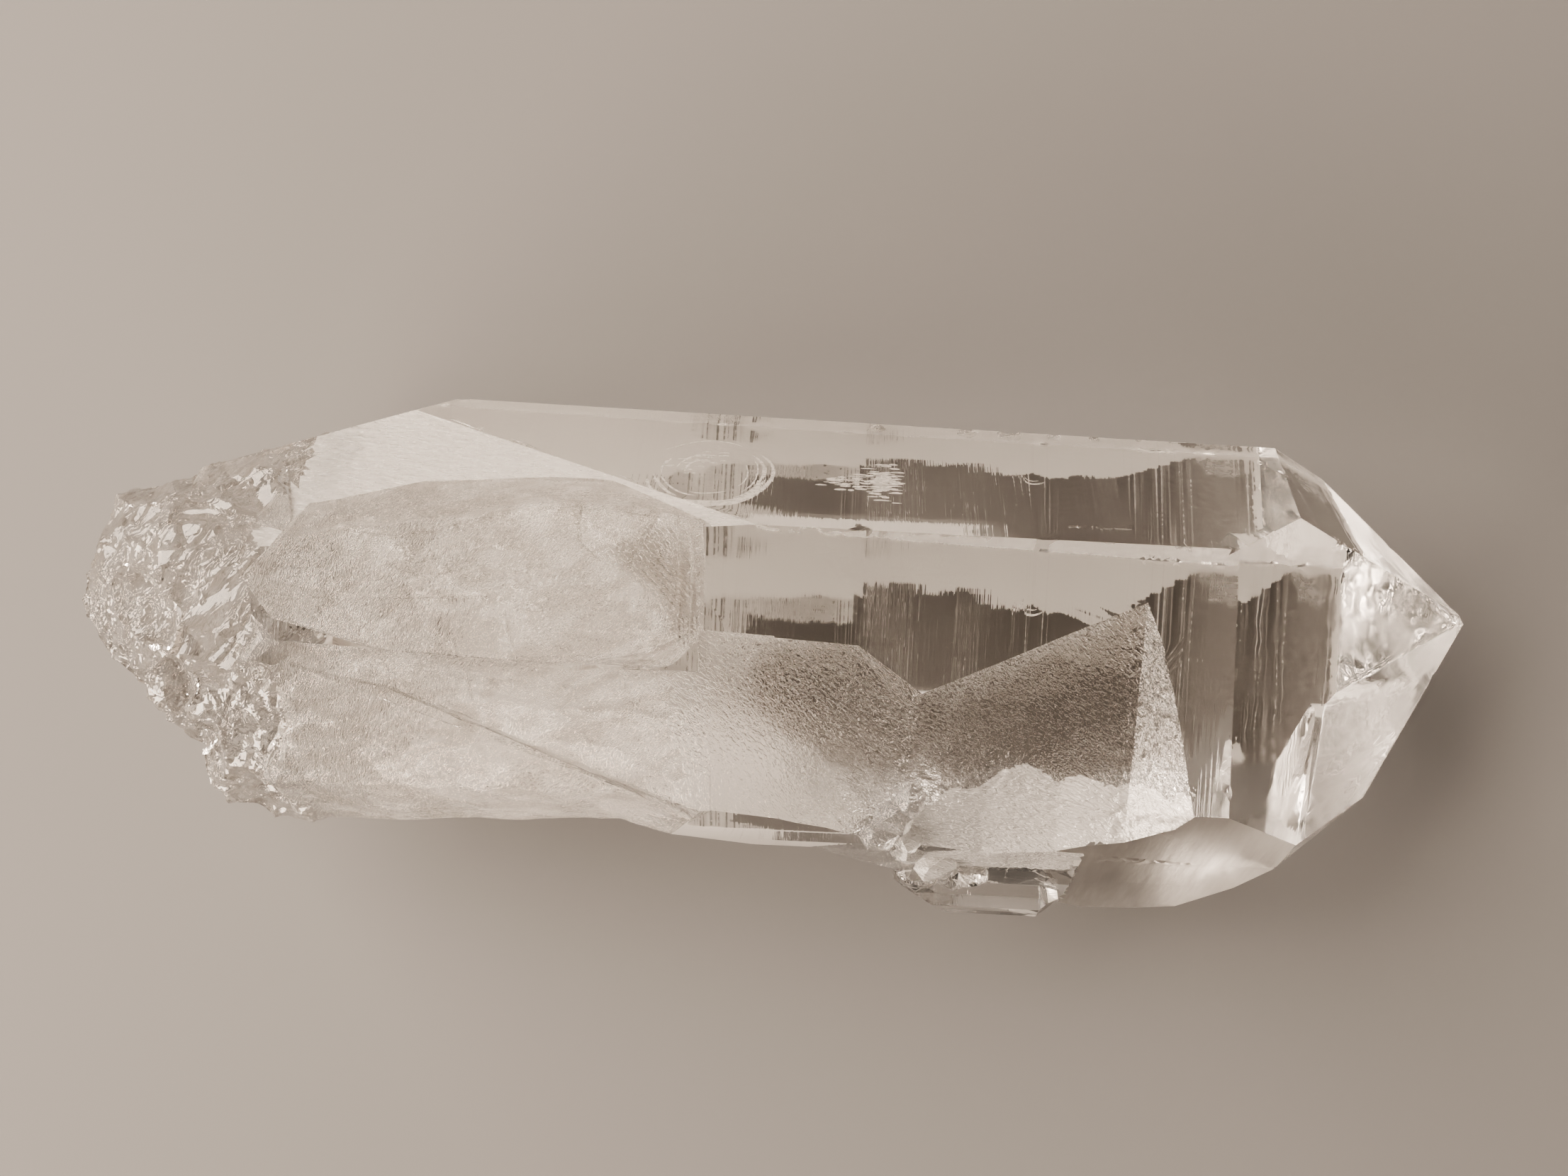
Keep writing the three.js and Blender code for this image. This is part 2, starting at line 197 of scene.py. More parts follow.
def flat_face_of(points, triangles):
    """Index of the flat face whose plane holds all three corners, or -1."""
    away = np.abs(points @ flat_normals.T - distance)
    lies_on = (away[triangles] < ON_PLANE).all(1)
    return np.where(lies_on.any(1), lies_on.argmax(1), -1)


home = flat_face_of(points, triangles)
print("flat triangles:", {name: int((home == k).sum()) for k, name in enumerate(names)})

# %% steps, cracks and cobbles in the overgrowth and the etched face
# Each furrow is a path over the top side in X and Y, a half width, and a depth in mm. A negative
# depth is a ridge. The last ten are the fine steps at the overgrowth's front end.
FURROWS = [
    ([(-26.2, -4.5), (-26.4, -6.2), (-26.3, -8.1), (-24.4, -9.8)], 0.14, 0.5),
    ([(-33.7, -15.6), (-33.2, -18), (-32.4, -20.6)], 0.18, -0.25),
    ([(-39.0, -18.4), (-38.4, -22), (-37.9, -25.1)], 0.16, -0.2),
    ([(-58.8, -14.4), (-50, -14.7), (-42, -14.1), (-35.5, -13.8)], 0.3, -0.3),
    ([(-51, -7.5), (-44.2, -8.1), (-37.9, -6.4), (-33, -4.9), (-28.5, -4.3), (-21.6, -4.6), (-16.4, -5.3)],
     0.25, -0.35),
    ([(-21.2, -10.4), (-20.3, -7.6), (-18.6, -5.3)], 0.18, 0.3),
    ([(-45.5, -11.6), (-41, -12.4), (-36.5, -10.9), (-31.5, -11.4)], 0.2, 0.2),
]
STEP_SPACING = 0.42
for shift in STEP_SPACING * np.arange(5):
    FURROWS.append(([(-19.9 + shift, -10.6 + shift), (-16.4 + shift, -14.2 + shift)], 0.13, 0.3))
    FURROWS.append(([(-16.1 + shift, -15.2), (-16.0 + shift, -18.3)], 0.12, 0.3))


def ease(low, high, value):
    """0 at low, 1 at high and the S curve 3t^2 - 2t^3 between them."""
    t = np.clip((value - low) / (high - low), 0, 1)
    return t * t * (3 - 2 * t)


def off_path(spots, path):
    """Distance in X and Y to the nearest of the straight pieces of a path."""
    nearest = np.full(len(spots), np.inf)
    for start, end in zip(np.array(path)[:-1], np.array(path)[1:]):
        run = end - start
        share = np.clip((spots[:, :2] - start) @ run / (run @ run), 0, 1)
        nearest = np.minimum(nearest, np.linalg.norm(spots[:, :2] - start - share[:, None] * run, axis=1))
    return nearest


def near_furrow(spots):
    """Distance in X and Y to the nearest furrow's path."""
    return np.min([off_path(spots, path) for path, _, _ in FURROWS], axis=0)


def cobbled(spots):
    """Weight of the cobbled parts of the forward etched face: an oval that fades outwards, and
    the steep strip at the far end, whose two sides are straight lines."""
    x, y, _ = spots.T
    oval = np.clip(1.4 - ((x - 12.5) / 8) ** 2 - ((y + 30.2) / 4.5) ** 2, 0, 1)
    strip = ease(29.3, 30.3, x) * ease(0.4, -0.4, x - 31.2 - 0.31 * (-11.5 - y)) * ease(-9, -11, y)
    return np.maximum(oval, strip)


print(len(FURROWS), "furrows")

# %% halve the long edges
WORTH_CUTTING = 0.55  # of the worst edge's excess; shorter ones wait for the next round


def halve_long_edges(points, triangles, home, limit_of):
    """Cut edges that are longer than their limit at the middle, longest first, until none is
    left. A triangle with one, two or three cut edges becomes two, three or four triangles."""
    while True:
        sides = np.sort(triangles[:, [0, 1, 1, 2, 2, 0]].reshape(-1, 2), 1)
        keys, which = np.unique(sides[:, 0] * len(points) + sides[:, 1], return_inverse=True)
        edges, which = np.stack([keys // len(points), keys % len(points)], 1), which.reshape(-1, 3)
        ends = points[edges]
        length = np.linalg.norm(ends[:, 0] - ends[:, 1], axis=1)
        limit = np.full(len(edges), np.inf)
        np.minimum.at(limit, which.ravel(), np.repeat(limit_of(points, triangles, home), 3))
        excess = length / limit
        if excess.max() <= 1:
            return points, triangles, home
        cut = excess > max(1, WORTH_CUTTING * excess.max())
        middle = np.full(len(edges), -1)
        middle[cut] = len(points) + np.arange(cut.sum())
        points = np.concatenate([points, ends[cut].mean(1)])
        marks = middle[which]
        count = (marks >= 0).sum(1)
        # Turn each triangle so that its first side is cut, and with two cuts the last is not.
        first = np.where(count == 2, (np.argmin(marks, 1) + 1) % 3, np.argmax(marks >= 0, 1))
        order = (first[:, None] + np.arange(3)) % 3
        a, b, c = np.take_along_axis(triangles, order, 1).T
        ab, bc, ca = np.take_along_axis(marks, order, 1).T
        new, parent = [], []
        for cuts, shapes in {
            0: [(a, b, c)],
            1: [(a, ab, c), (ab, b, c)],
            2: [(ab, b, bc), (a, ab, bc), (a, bc, c)],
            3: [(a, ab, ca), (ab, b, bc), (ca, bc, c), (ab, bc, ca)],
        }.items():
            chosen = count == cuts
            for shape in shapes:
                new.append(np.stack(shape, 1)[chosen])
                parent.append(home[chosen])
        triangles, home = np.concatenate(new), np.concatenate(parent)


# %% how fine each part has to be


def fineness(points, triangles, home):
    """Longest edge allowed, in mm. Rough faces are fine, and finer still where there are steps
    and cracks. Flat faces get coarser with the distance from their nearest edge."""
    middles = points[triangles].mean(1)
    gap = distance - middles @ flat_normals.T
    gap[gap < ON_PLANE] = np.inf
    flat = np.clip(1.2 * gap.min(1), 0.85, 6.0)
    for name, limit in (("rest", 0.95), ("hidden_foot", 1.4)):
        on_it = home == names.index(name)
        flat[on_it] = np.minimum(flat[on_it], limit)
    root, underside, cobbles, steps = 0.7, 1.3, 0.42, 0.28
    rough = np.where(middles[:, 0] < ROOT_START, root, np.where(middles[:, 0] > SLAB_END, 0.8, 1.0))
    rough[middles[:, 2] < 10] = underside
    rough[(cobbled(middles) > 0.2) & (middles[:, 2] > 15)] = cobbles
    there = np.flatnonzero((home < 0) & (middles[:, 2] > 25) & (middles[:, 0] < SLAB_END + 2))
    rough[there[near_furrow(middles[there]) < 0.4]] = steps
    return np.where(home >= 0, flat, rough)


points, triangles, home = halve_long_edges(points, triangles, home, fineness)
print("fine skin:", len(points), "points,", len(triangles), "triangles")

# %% [markdown]
# ## Relief worked out from position
# Apart from the furrows, two patterns make all the relief. A cloud is smooth noise: random numbers
# on a lattice, blended between its corners. Bowls are the shells that a knock leaves in quartz:
# scattered centres, and a hollow round each that rises to a sharp ridge where two hollows meet.

# %% patterns


def lattice(cells, seed):
    """A fixed random number from 0 to 1 for every whole-number cell."""
    mixed = np.sin(cells @ np.array([127.1, 311.7, 74.7]) + 53.3 * seed) * 43758.5453
    return mixed - np.floor(mixed)


def cloud(spots, size, seed):
    """Smooth noise from -1 to 1: eight lattice corners blended by S curves of the fractions."""
    spots = spots / size
    base = np.floor(spots)
    t = ease(0, 1, spots - base)
    total = np.zeros(len(spots))
    for corner in np.ndindex(2, 2, 2):
        share = np.prod(np.where(corner, t, 1 - t), axis=1)
        total += share * lattice(base + corner, seed)
    return 2 * total - 1


def bowls(spots, size, seed):
    """0 at the nearest of the scattered centres, rising with the square of the distance to
    about 1 on the ridges between two of them."""
    spots = spots / size
    base = np.floor(spots)
    nearest = np.full(len(spots), 9.0)
    for step in np.ndindex(3, 3, 3):
        cell = base + np.array(step) - 1
        centre = cell + np.stack([lattice(cell, seed + k) for k in range(3)], 1)
        nearest = np.minimum(nearest, ((spots - centre) ** 2).sum(1))
    return nearest


def turned(spots, angle, stretch):
    """The positions turned about Z by an angle, and squeezed along the new X by stretch, so
    that a pattern worked out on them runs in long streaks."""
    c, s = math.cos(math.radians(angle)), math.sin(math.radians(angle))
    along = (c * spots[:, 0] + s * spots[:, 1]) / stretch
    return np.stack([along, c * spots[:, 1] - s * spots[:, 0], spots[:, 2]], 1)


print("cloud spans", cloud(points, 3, 1).min().round(2), "to", cloud(points, 3, 1).max().round(2))

# %% [markdown]
# ## Where each kind of surface is
# Each kind of surface is a weight from 0 to 1, worked out from the position: the broken root,
# the etched faces where neighbours once grew against this crystal, the frosted overgrowth and
# the smooth lobe. Points on a flat face stay in place, apart from the worn edge between two of
# them.

# %% surface kinds


def kinds(spots):
    """Weights of the broken, etched, frosted and lobed surfaces at each spot. Each is a product
    of S curves across its borders, and noise makes the borders of the first two ragged."""
    x, y, z = spots.T
    ragged_x = x + 2.5 * cloud(spots, 6, 43) + 1.2 * cloud(spots, 1.5, 44)
    broken = ease(ROOT_START, ROOT_START - 3, ragged_x)
    start = SLAB_END + ease(-20, -22, y) * (4 * cloud(spots, 5, 41) + 2 * cloud(spots, 1.2, 42) - 3)
    etched = ease(-1.5, 1.5, x - start) * ease(-47.5, -45, y) * ease(18, 20, z) * (1 - broken)
    etched *= 1 - ease(26.5, 28, x) * ease(-41, -42, y)
    groove = -33 - 0.29 * (x + 24)
    lobed = (1 - ease(-15.5, -12.5, x)) * ease(groove, groove - 1.5, y) * (1 - broken)
    frosted = (1 - etched - lobed - broken) * ease(29, 31, z)
    frosted *= 1 - ease(SLAB_END, SLAB_END + 2, x)
    return broken, etched, np.clip(frosted, 0, 1), lobed


def relief(spots):
    """Height of the relief along the outward direction, in mm: each kind of surface has its own
    sum of clouds and bowls, times its weight, and a furrow is a bell curve across its path."""
    broken, etched, frosted, lobed = kinds(spots)
    # the root: shells in three sizes, drawn out along the break
    splinters = turned(spots, 55, 1.7)
    shells = 2.0 * (bowls(splinters, 7.0, 3) - 0.4) + 1.1 * (bowls(splinters, 3.0, 9) - 0.4)
    shells += 0.5 * (bowls(spots, 1.5, 12) - 0.4)
    # the etched faces: fine streaks, and cobbles where they are coarse
    streaks = turned(spots, -48, 3.0)
    rough = 0.05 * cloud(streaks, 0.8, 2) + 0.07 * cloud(spots, 2.6, 5)
    rough += cobbled(spots) * (0.14 - 0.36 * bowls(spots, 0.95, 14))
    # the overgrowth is wavy and the lobe swells gently
    waves = 0.17 * cloud(turned(spots, 8, 2.5), 3.0, 6) + 0.1 * cloud(spots, 1.4, 7)
    swell = 0.22 * cloud(spots, 7.0, 8) + 0.07 * cloud(spots, 1.8, 4)
    cuts = np.zeros(len(spots))
    there = np.flatnonzero((spots[:, 2] > 25) & (spots[:, 0] < SLAB_END + 2))
    for path, width, depth in FURROWS:
        cuts[there] -= depth * np.exp(-((off_path(spots[there], path) / width) ** 2))
    return broken * shells + etched * rough + frosted * waves + lobed * swell + cuts


# %% move the points
# A point of a rough face moves along its normal. A point on an edge between two flat faces moves
# a little inwards, which wears the edge, and no point goes below the resting face.
normals = np.zeros_like(points)
face_normals = triangle_normals(points, triangles)
for k in range(3):
    np.add.at(normals, triangles[:, k], face_normals * (home < 0)[:, None])
length = np.linalg.norm(normals, axis=1)
on_flat = np.zeros(len(points), bool)
on_flat[triangles[home >= 0].ravel()] = True
free = ~on_flat & (length > 1e-9)
shaped = points.copy()
shaped[free] += normals[free] / length[free, None] * relief(points[free])[:, None]
on_plane = np.abs(points @ flat_normals.T - distance) < ON_PLANE
edge = on_flat & (on_plane.sum(1) > 1)
inward = -(on_plane[edge] @ flat_normals)
inward /= np.linalg.norm(inward, axis=1)[:, None]
LEAST_WEAR, MORE_WEAR = 0.025, 0.16
wear = LEAST_WEAR + MORE_WEAR * ease(0.45, 0.8, cloud(points[edge], 1.7, 31))
shaped[edge] += inward * wear[:, None]
shaped[:, 2] = np.maximum(shaped[:, 2], REST_Z)
print("worn back", int(edge.sum()), "points on edges")
print("moved", int(free.sum()), "points by up to", np.abs(shaped - points).max().round(2), "mm")

# %% the crystal's mesh
SHARP_ANGLE = 16  # degrees from which an edge stays crisp
body_mesh = bpy.data.meshes.new("crystal_body")
body_mesh.from_pydata((shaped + own_zero) * MM, [], triangles.tolist())
body_mesh.update()
body_mesh.polygons.foreach_set("use_smooth", np.ones(len(triangles), bool))
body_mesh.set_sharp_from_angle(angle=math.radians(SHARP_ANGLE))
crystal = bpy.data.objects.new("crystal_body", body_mesh)
bpy.context.collection.objects.link(crystal)
print("crystal mesh:", len(body_mesh.polygons), "triangles")

# %% [markdown]
# ## Ten finishes of one mineral
# Rock crystal is plain glass to a renderer: an index of refraction of 1.544 and transmission,
# both set on the shader itself. What differs from place to place is the surface. Smooth growth
# faces carry fine lines across the long axis. Contact faces are etched, and the rib is misted.
# The overgrowth is frosted and the underside of the rear half is cloudy, so some light scatters
# there. The root is splintered. Each is a material of its own, which keeps it small and quick.
#
# A crystal shows the dark things round it through its clear faces. A pale floor has none, so shade is
# painted into the colour of the clear parts of the resting face, of the etched faces and of the rib.

# %% node helpers
QUARTZ_IOR = 1.544


class Finish:
    """A quartz material that is put together node by node."""

    def __init__(self, name, colour, transmission, roughness):
        self.material = bpy.data.materials.new(name)
        self.material.use_nodes = True
        self.tree = self.material.node_tree
        self.shader = self.tree.nodes["Principled BSDF"]
        self.shader.inputs["Base Color"].default_value = (*colour, 1)
        self.shader.inputs["Transmission Weight"].default_value = transmission
        self.shader.inputs["IOR"].default_value = QUARTZ_IOR
        self.shader.inputs["Roughness"].default_value = roughness
        self.place = self.tree.nodes.new("ShaderNodeTexCoord").outputs["Object"]

    def plug(self, value, socket):
        """Link an output to a socket, or set the socket to a plain number."""
        if isinstance(value, bpy.types.NodeSocket):
            self.tree.links.new(value, socket)
        else:
            socket.default_value = value

    def maths(self, operation, *values):
        """A maths node's output. The values are outputs or plain numbers."""
        made = self.tree.nodes.new("ShaderNodeMath")
        made.operation = operation
        for value, socket in zip(values, made.inputs):
            self.plug(value, socket)
        return made.outputs[0]

    def grain(self, size, turn=0, detail=2, distortion=0.0):
        """Noise from about 0.25 to 0.75. Its grains have the size given along X, Y and Z, in
        mm, after a turn about Z."""
        mapping = self.tree.nodes.new("ShaderNodeMapping")
        mapping.vector_type = "TEXTURE"
        mapping.inputs["Scale"].default_value = [MM * side for side in size]
        mapping.inputs["Rotation"].default_value[2] = math.radians(turn)
        self.tree.links.new(self.place, mapping.inputs["Vector"])
        made = self.tree.nodes.new("ShaderNodeTexNoise")
        made.inputs["Scale"].default_value = 1
        made.inputs["Detail"].default_value = detail
        made.inputs["Distortion"].default_value = distortion
        self.tree.links.new(mapping.outputs[0], made.inputs["Vector"])
        return made.outputs[0]

    def creases(self, value):
        """Sharp valleys where a noise crosses its middle: its distance from 0.5."""
        return self.maths("ABSOLUTE", self.maths("SUBTRACT", value, 0.5))

    def ramp(self, value, low, high, to_low=0.0, to_high=1.0):
        """Map low..high to to_low..to_high along an S curve."""
        made = self.tree.nodes.new("ShaderNodeMapRange")
        made.interpolation_type = "SMOOTHSTEP"
        self.plug(value, made.inputs["Value"])
        made.inputs["From Min"].default_value = low
        made.inputs["From Max"].default_value = high
        made.inputs["To Min"].default_value = to_low
        made.inputs["To Max"].default_value = to_high
        return made.outputs[0]

    def attribute(self, name):
        """A number kept on the mesh's own points."""
        made = self.tree.nodes.new("ShaderNodeAttribute")
        made.attribute_name = name
        return made.outputs["Fac"]

    def blend(self, share, low, high):
        """A colour that goes from low to high as share goes from 0 to 1."""
        made = self.tree.nodes.new("ShaderNodeMix")
        made.data_type = "RGBA"
        self.tree.links.new(share, made.inputs[0])
        made.inputs[6].default_value = (*low, 1)
        made.inputs[7].default_value = (*high, 1)
        return made.outputs[2]

    def relief(self, *layers):
        """Bump from patterns, each with its depth in mm."""
        height = 0.0
        for pattern, depth in layers:
            height = self.maths("MULTIPLY_ADD", pattern, depth, height)
        made = self.tree.nodes.new("ShaderNodeBump")
        made.inputs["Strength"].default_value = 1
        made.inputs["Distance"].default_value = MM
        self.tree.links.new(height, made.inputs["Height"])
        self.tree.links.new(made.outputs[0], self.shader.inputs["Normal"])

    def describe(self):
        """Print how large the material is."""
        print(self.material.name, "has", len(self.tree.nodes), "nodes")


print("index of refraction:", QUARTZ_IOR)

# %% growth faces of the prism
PALE = (0.985, 0.965, 0.94)
clear = Finish("clear_quartz_growth_face", (0.985, 0.975, 0.96), 1.0, 0.02)
lines = clear.grain((0.5, 25, 25), detail=2)
bars = clear.ramp(clear.grain((7, 60, 60), detail=0), 0.42, 0.6)
clear.relief((clear.maths("MULTIPLY", lines, bars), 0.09))
clear.plug(clear.ramp(lines, 0.4, 0.7, 0.012, 0.06), clear.shader.inputs["Roughness"])
clear.describe()

# %% faces of the point
pointed = Finish("clear_quartz_point_face", (0.985, 0.975, 0.96), 1.0, 0.02)
breath = pointed.grain((9, 6, 6), 0, 2)
pointed.relief((breath, 0.12))
pointed.plug(pointed.ramp(breath, 0.4, 0.65, 0.02, 0.12), pointed.shader.inputs["Roughness"])
pointed.describe()

# %% resting face and the foot beside it
# The haze_and_shade attribute is 0 where the face is clear, with painted shade in its colour, and 1
# where it is cloudy. Specks and the growth lines make its borders ragged.
# painted shade: the clear window's dark colour stands in for dark surroundings seen through it
WINDOW_PAINTED_SHADE = (0.66, 0.62, 0.585)
resting = Finish("clear_quartz_resting_face", WINDOW_PAINTED_SHADE, 1.0, 0.03)
specks = resting.grain((1.2, 0.9, 0.9), 0, 3)
lines = resting.grain((0.32, 40, 40), 0, 1)
bars = resting.ramp(resting.grain((8, 60, 60), 0, 0), 0.34, 0.5)
speckled = resting.maths("SUBTRACT", specks, 0.5)
cover = resting.maths("MULTIPLY_ADD", speckled, 0.3, resting.attribute("haze_and_shade"))
striped = resting.maths("MULTIPLY", resting.maths("SUBTRACT", lines, 0.46), bars)
cover = resting.ramp(resting.maths("MULTIPLY_ADD", striped, 1.7, cover), -0.2, 1.0)
# painted shade in the clear part, and the pale colour of the haze in the cloudy part
resting.plug(resting.blend(cover, WINDOW_PAINTED_SHADE, (0.97, 0.945, 0.91)), resting.shader.inputs["Base Color"])
resting.plug(resting.ramp(cover, 0, 1, 1.0, 0.4), resting.shader.inputs["Transmission Weight"])
resting.plug(resting.ramp(cover, 0, 1, 0.03, 0.5), resting.shader.inputs["Roughness"])
resting.relief((specks, 0.06))
resting.describe()

# %% etched contact faces
# The haze_and_shade attribute goes on here: 0 is the middle of an etched face, darkened by painted
# shade, and 1 is its pale border.
etched = Finish("clear_quartz_etched", (0.98, 0.97, 0.955), 0.97, 0.05)
pits = etched.grain((0.65, 0.34, 0.45), -48, 2, 1.0)
etched.relief((pits, 0.25))
cover = etched.maths("MULTIPLY_ADD", etched.maths("SUBTRACT", pits, 0.5), 0.9, etched.attribute("haze_and_shade"))
# painted shade: the dark colour of the middles of the etched faces
etched.plug(etched.blend(etched.ramp(cover, 0, 1), (0.41, 0.38, 0.35), (0.985, 0.97, 0.95)),
            etched.shader.inputs["Base Color"])
etched.plug(etched.ramp(pits, 0.4, 0.6, 0.02, 0.12), etched.shader.inputs["Roughness"])
etched.describe()

# %% lower part of the forward contact face, where the etching is coarse and pale
pale_etched = Finish("clear_quartz_pale_etched", (0.98, 0.96, 0.93), 0.72, 0.1)
ridges = pale_etched.grain((1.1, 0.36, 0.45), -20, 2, 1.0)
pale_etched.relief((ridges, 0.34))
pale_etched.plug(pale_etched.ramp(ridges, 0.4, 0.6, 0.02, 0.15), pale_etched.shader.inputs["Roughness"])
pale_etched.describe()

# %% misted rib, with painted shade in its dark colour
# painted shade: the dark base colour darkens the rib's misted faces
misted_shaded = Finish("clear_quartz_misted_shaded", (0.31, 0.29, 0.27), 0.97, 0.5)
mist = misted_shaded.grain((1.2, 9, 9), 0, 3)
misted_shaded.relief((mist, 0.07))
misted_shaded.plug(misted_shaded.ramp(mist, 0.35, 0.65, 0.42, 0.58), misted_shaded.shader.inputs["Roughness"])
misted_shaded.shader.inputs["Specular IOR Level"].default_value = 0.22
misted_shaded.describe()

# %% frosted growth
frosted = Finish("clear_quartz_frosted", (0.975, 0.955, 0.925), 0.92, 0.1)
patches = frosted.ramp(frosted.grain((8, 5, 5), 0, 2), 0.44, 0.58, 0.2, 1.0)
ripples = frosted.grain((0.7, 0.32, 0.4), 62, 2, 1.2)
tone = frosted.ramp(frosted.grain((6, 3, 3), 20, 4, 1.0), 0.4, 0.6)
frosted.plug(frosted.blend(tone, (0.68, 0.645, 0.61), PALE), frosted.shader.inputs["Base Color"])
worn = frosted.maths("MULTIPLY_ADD", frosted.creases(ripples), 1.8, ripples)
frosted.relief((frosted.maths("MULTIPLY", worn, patches), 1.0))
frosted.plug(frosted.ramp(ripples, 0.35, 0.65, 0.02, 0.14), frosted.shader.inputs["Roughness"])
frosted.describe()

# %% fan facet, with streaks that run together towards the point
fanned = Finish("clear_quartz_fan_facet", (0.97, 0.95, 0.92), 0.7, 0.2)
streaks = fanned.grain((45, 0.6, 0.6), -15, 2, 0.1)
fanned.relief((streaks, 0.25))
fanned.plug(fanned.ramp(streaks, 0.35, 0.65, 0.1, 0.4), fanned.shader.inputs["Roughness"])
fanned.describe()

# %% underside of the rear, where the crystal grew against rock
cloudy = Finish("clear_quartz_cloudy", (0.97, 0.945, 0.91), 0.4, 0.5)
billows = cloudy.grain((4, 2.2, 2.2), 0, 4, 0.6)
cloudy.relief((billows, 0.5))
cloudy.plug(cloudy.blend(cloudy.ramp(billows, 0.36, 0.6), (0.6, 0.55, 0.5), (0.98, 0.955, 0.92)),
            cloudy.shader.inputs["Base Color"])
cloudy.plug(cloudy.ramp(billows, 0.35, 0.65, 0.3, 0.6), cloudy.shader.inputs["Roughness"])
cloudy.describe()

# %% splintered root
splintered = Finish("clear_quartz_splintered", (0.975, 0.955, 0.925), 0.94, 0.06)
splinters = splintered.grain((2.4, 1.0, 1.2), 55, 2, 0.8)
crushed = splintered.ramp(splintered.grain((9, 5, 6), 30, 2), 0.5, 0.62, 0.1, 1.0)
hollows = splintered.creases(splintered.grain((9, 3.5, 4), 55, 1, 0.4))
creased = splintered.maths("MULTIPLY", splintered.creases(splinters), crushed)
splintered.relief((creased, 1.6), (hollows, 2.4))
tone = splintered.ramp(splintered.grain((3, 1.4, 1.6), 55, 4, 1.0), 0.4, 0.6)
splintered.plug(splintered.blend(tone, (0.72, 0.68, 0.64), PALE), splintered.shader.inputs["Base Color"])
splintered.plug(splintered.ramp(splinters, 0.4, 0.6, 0.01, 0.07), splintered.shader.inputs["Roughness"])
splintered.describe()

# %% [markdown]
# ## Which triangle gets which finish
# The weights from before choose the finish of every triangle at its middle. The resting face is
# clear only in its forward part, where painted shade darkens its colour. Its far edge and its rear
# are cloudy, with a ragged border, so how hazy it is goes onto the mesh's points as an attribute
# that its material reads. The etched faces read the same attribute, as the share of their pale
# border against their middle of painted shade.

# %% inside an outline


def inside(spots, outline):
    """True where a ray along +X crosses the outline an odd number of times."""
    x, y = spots[:, 0], spots[:, 1]
    hit = np.zeros(len(spots), bool)
    for (x0, y0), (x1, y1) in zip(outline, outline[1:] + outline[:1]):
        crosses = (y0 > y) != (y1 > y)
        at = x0 + (x1 - x0) * (y - y0) / (y1 - y0 if y1 != y0 else 1)
        hit ^= crosses & (x < at)
    return hit


SQUARE = [(0, 0), (2, 0), (2, 2), (0, 2)]
print("inside a square:", inside(np.array([[1.0, 1.0], [3.0, 1.0]]), SQUARE))

# %% outlines of the haze and the painted shade
# Outlines in X and Y on the resting face and on the etched faces, and the value inside each: low
# values are painted shade, high ones are haze on the resting face and the pale border on the etched
# faces. Later ones cover earlier ones.
HAZE_AND_SHADE_ZONES = [
    (0.45, [(-22, -25), (-24, -19), (-12, -14.8), (2.1, -14.6), (2.1, -18), (-8, -26)]),
    (0.5, [(-19.5, -6.5), (-9, -8), (-9.5, -9.8), (-18, -11.2)]),
    (0.5, [(2.2, -6.8), (6.2, -7.2), (5.5, -9.5), (2.3, -11)]),
    (0.0, [(2, -14.6), (33, -14.7), (41, -9.8), (49.3, -9.8), (49.3, -26), (41, -34), (37, -33),
           (35, -28.5), (12, -28.5), (-6, -26), (-12, -23), (-10, -17.5), (2, -17.5)]),
    (0.13, [(3, -13), (17, -13), (16, -30), (3, -30)]),
    (0.4, [(41, -9.8), (49.3, -9.8), (49.3, -12.5), (44, -13.5)]),
]
STEP_PATCH = [(-24.5, -9.8), (-19.2, -5.6), (-15.2, -6.8), (-14.4, -13), (-14.4, -18.6), (-16.6, -18.6),
              (-17, -15.5), (-20, -11.8)]
ETCHED_SHADE_ZONES = [
    (-0.1, STEP_PATCH),
    (0.55, [(-14, -19.5), (-4, -17), (2, -17.5), (4, -32), (-4, -30), (-14, -25)]),
    (-0.3, [(-7, -18.5), (-1, -17.8), (3, -17), (11.5, -23), (9.5, -31), (3, -31), (-3, -27.5),
            (-8, -23)]),
    (0.0, [(11.5, -22.5), (31.5, -10.5), (32.5, -27), (28.5, -31), (21, -29.5), (17.5, -31),
           (9.5, -34)]),
    (-0.4, [(20, -28), (25.5, -19.5), (28.5, -19), (29.5, -28.5), (26, -30), (21, -28.5)]),
    (-0.4, [(29.2, -9), (33.5, -9), (38.5, -28), (29.2, -28)]),
]
print(len(HAZE_AND_SHADE_ZONES), "zones on the resting face,", len(ETCHED_SHADE_ZONES), "on the etched faces")

# %% haze and painted shade on the points
CONTACT_LEVEL = 12  # the etched faces lie higher than this
BLUR = 1.7  # the zones of the etched faces fade over this distance
wander = points[:, :2] + 0.8 * np.stack([0.5 * cloud(points, 2.2, 21), cloud(points, 2.2, 22)], 1)
haze_and_shade_at = np.ones(len(points))
for value, outline in HAZE_AND_SHADE_ZONES:
    haze_and_shade_at[inside(wander, outline)] = value
# less painted shade in the clear window towards the point
haze_and_shade_at += 0.24 * ease(35, 45, points[:, 0]) * (haze_and_shade_at < 0.1)
above = points[:, 2] > REST_Z + 0.3
# the foot beside the resting face: painted shade where it is clear, haze elsewhere
clear_foot = ease(-9, -3, wander[:, 0]) * ease(-4.8, -4.2, points[:, 2] + 0.6 * cloud(points, 2.5, 23))
haze_and_shade_at[above] = (0.85 - 0.8 * clear_foot)[above]
high = points[:, 2] > CONTACT_LEVEL
haze_and_shade_at[high] = 1
ring = BLUR * np.array([(math.cos(k * math.pi / 4), math.sin(k * math.pi / 4)) for k in range(8)])
